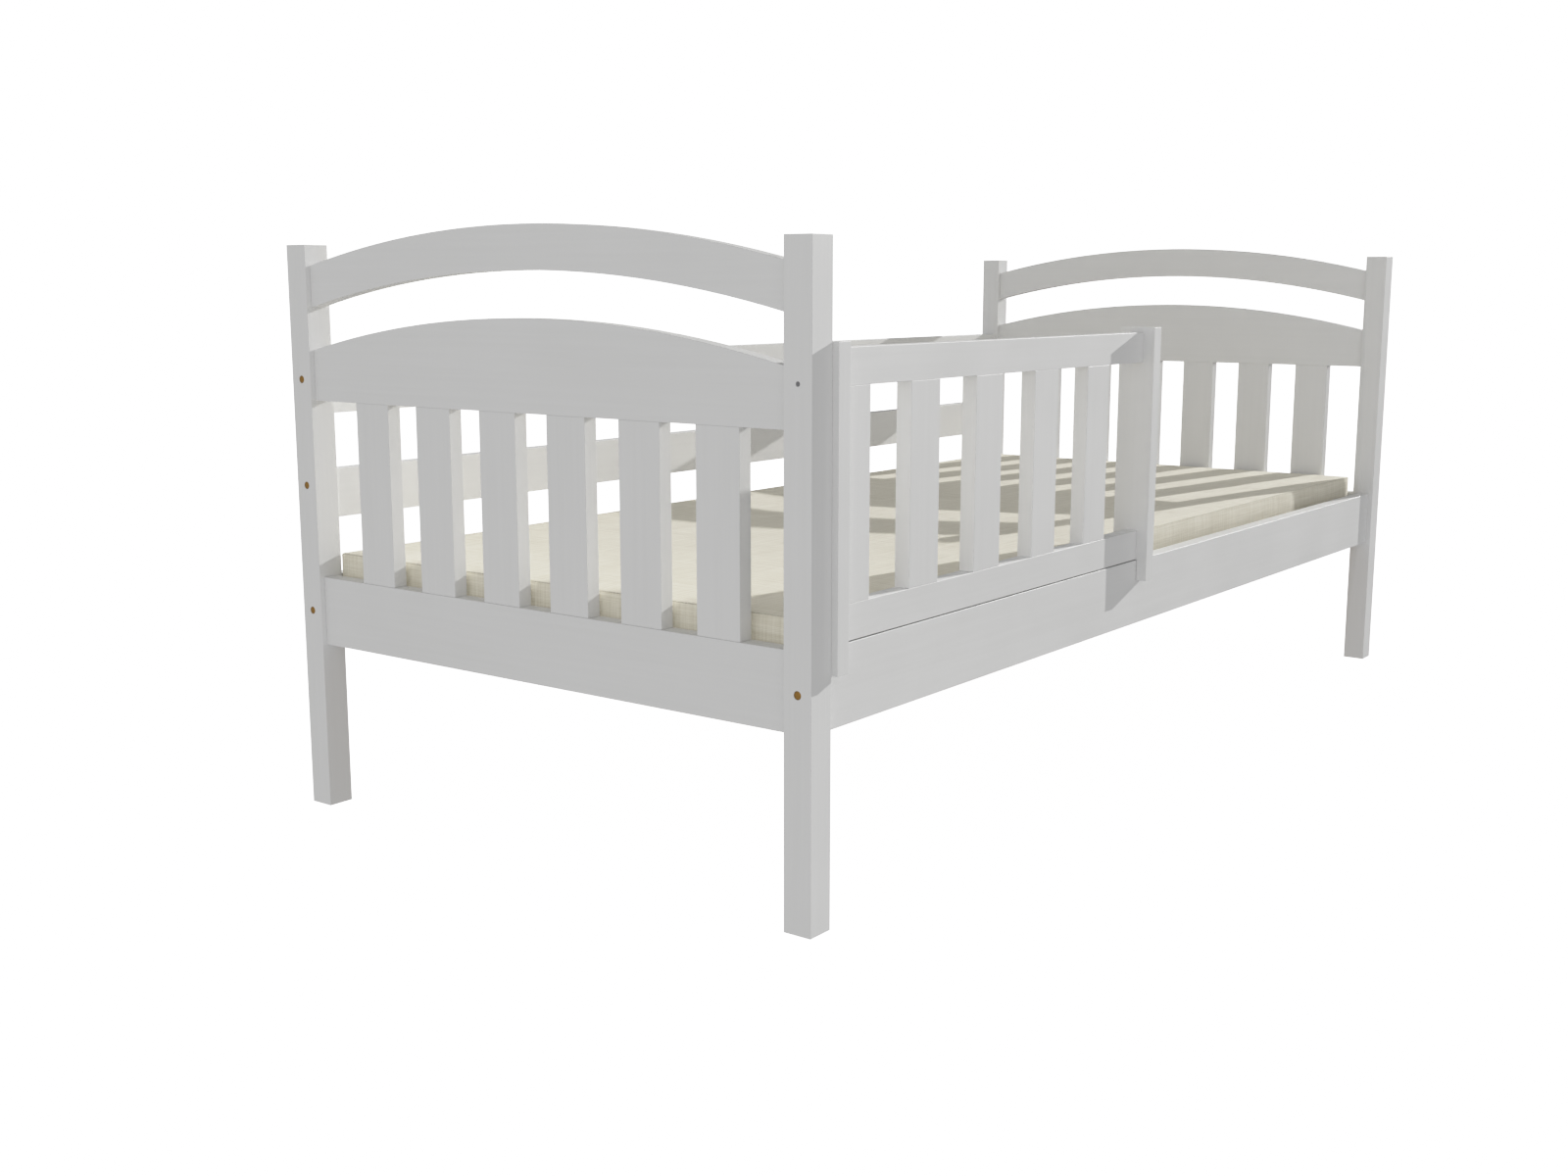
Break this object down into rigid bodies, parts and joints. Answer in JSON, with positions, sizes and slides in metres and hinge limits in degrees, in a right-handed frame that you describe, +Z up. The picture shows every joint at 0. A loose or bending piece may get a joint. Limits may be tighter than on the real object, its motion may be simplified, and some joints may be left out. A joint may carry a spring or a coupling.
{
  "type": "toddler bed",
  "caption": "Low slatted wooden child's bed with arched end frames, back guard rails, a slatted front guard beside an open entry, a lift-out slatted base and a mattress.",
  "frame": {"origin": "on the floor, under the middle of the whole bed's bounding box", "axes": "+Z up; +X along the bed from the head end, where the front guard is, to the foot end; +Y across the bed, from the open front to the back guard rails"},
  "size_m": [2.078, 0.979, 0.8815],
  "materials": {
    "white_paint": "satin white paint over sanded solid wood, edges lightly broken",
    "bare_pine": "planed, unpainted",
    "webbing": "woven polyester tape",
    "mattress_cover": "matt cream woven cover with sewn edges",
    "yellow_zinc": "yellow zinc-plated steel",
    "grey_steel": "plain zinc-plated steel"
  },
  "bodies": {
    "bed_frame": {"headboard_post_front": "white_paint", "headboard_post_back": "white_paint", "headboard_top_rail": "white_paint", "headboard_panel": "white_paint", "headboard_lower_rail": "white_paint", "headboard_slat_1": "white_paint", "headboard_slat_2": "white_paint", "headboard_slat_3": "white_paint", "headboard_slat_4": "white_paint", "headboard_slat_5": "white_paint", "headboard_slat_6": "white_paint", "footboard_post_front": "white_paint", "footboard_post_back": "white_paint", "footboard_top_rail": "white_paint", "footboard_panel": "white_paint", "footboard_lower_rail": "white_paint", "footboard_slat_1": "white_paint", "footboard_slat_2": "white_paint", "footboard_slat_3": "white_paint", "footboard_slat_4": "white_paint", "footboard_slat_5": "white_paint", "footboard_slat_6": "white_paint", "side_rail_front": "white_paint", "side_rail_back": "white_paint", "back_guard_rail_lower": "white_paint", "back_guard_rail_upper": "white_paint", "guard_stile_head": "white_paint", "guard_stile_foot": "white_paint", "guard_top_rail": "white_paint", "guard_bottom_rail": "white_paint", "guard_slat_1": "white_paint", "guard_slat_2": "white_paint", "guard_slat_3": "white_paint", "guard_slat_4": "white_paint", "guard_slat_5": "white_paint", "slat_ledger_front": "bare_pine", "slat_ledger_back": "bare_pine", "headboard_bolt_front": "yellow_zinc", "headboard_bolt_back_side": "yellow_zinc", "headboard_bolt_back_lower": "yellow_zinc", "headboard_bolt_back_upper": "yellow_zinc", "footboard_bolt_front": "yellow_zinc", "footboard_bolt_back_side": "yellow_zinc", "footboard_bolt_back_lower": "yellow_zinc", "footboard_bolt_back_upper": "yellow_zinc", "guard_screw": "grey_steel"},
    "slatted_base": {"base_slat_1": "bare_pine", "base_slat_2": "bare_pine", "base_slat_3": "bare_pine", "base_slat_4": "bare_pine", "base_slat_5": "bare_pine", "base_slat_6": "bare_pine", "base_slat_7": "bare_pine", "base_slat_8": "bare_pine", "base_slat_9": "bare_pine", "base_slat_10": "bare_pine", "base_slat_11": "bare_pine", "base_strap_front": "webbing", "base_strap_back": "webbing"},
    "mattress_body": {"mattress": "mattress_cover"}
  },
  "joints": [
    {"name": "base_lift_out", "type": "slide", "parent": "bed_frame", "child": "slatted_base", "axis": [0, 0, 1], "range_m": [0, 0.65]},
    {"name": "mattress_lift_off", "type": "slide", "parent": "slatted_base", "child": "mattress_body", "axis": [0, 0, 1], "range_m": [0, 0.65]}
  ]
}
